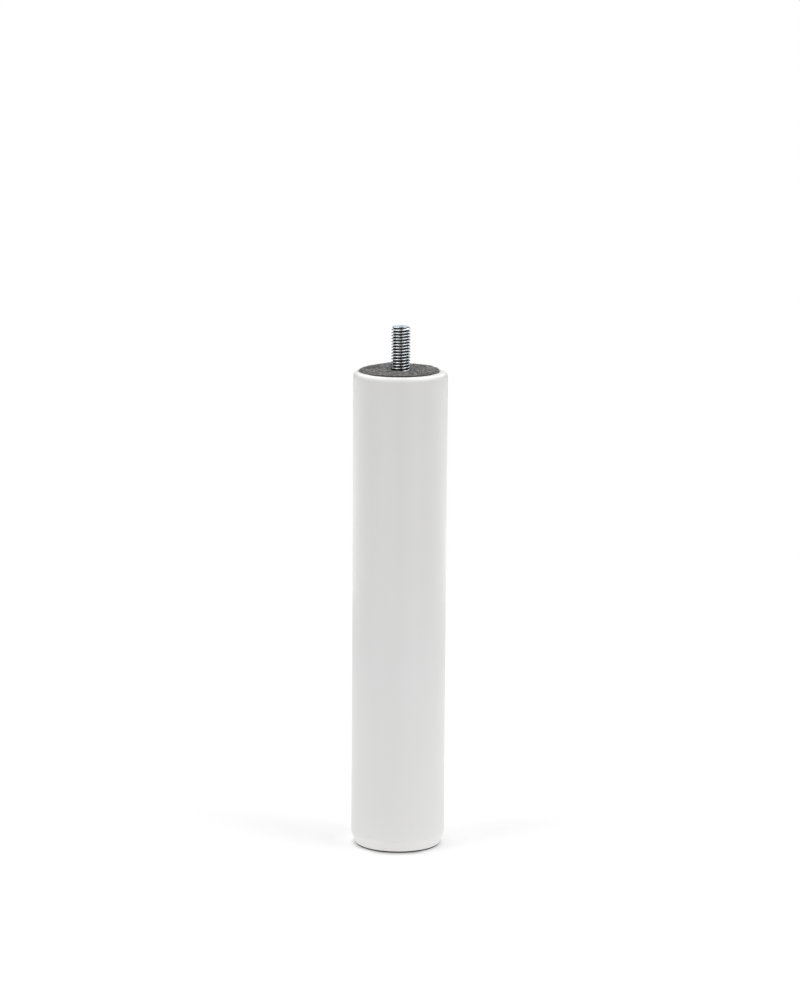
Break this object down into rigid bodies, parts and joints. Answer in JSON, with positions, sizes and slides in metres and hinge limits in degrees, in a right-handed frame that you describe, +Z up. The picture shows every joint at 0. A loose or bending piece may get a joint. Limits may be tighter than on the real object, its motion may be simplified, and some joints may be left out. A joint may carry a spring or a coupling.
{
  "type": "bed leg",
  "caption": "Round white bed leg with a rounded top rim, a tapered foot, a grey felt disc on top and a threaded stud that screws up into the bed frame.",
  "frame": {"origin": "on the floor, at the centre of the foot glide's lower face", "axes": "+Z up along the leg's axis, out of the top through the stud; X and Y are level and interchangeable, because the leg is round"},
  "size_m": [0.04, 0.04, 0.225],
  "materials": {
    "white_lacquer": "smooth satin white lacquer on turned wood",
    "zinc_plated_steel": "bright zinc plating on rolled steel",
    "grey_felt": "matted dark grey wool felt with lighter fibres",
    "dark_felt": "thin pressed dark grey felt"
  },
  "bodies": {
    "root": {"leg_body": "white_lacquer", "hanger_bolt": "zinc_plated_steel", "top_felt": "grey_felt", "foot_glide": "dark_felt"}
  },
  "joints": []
}
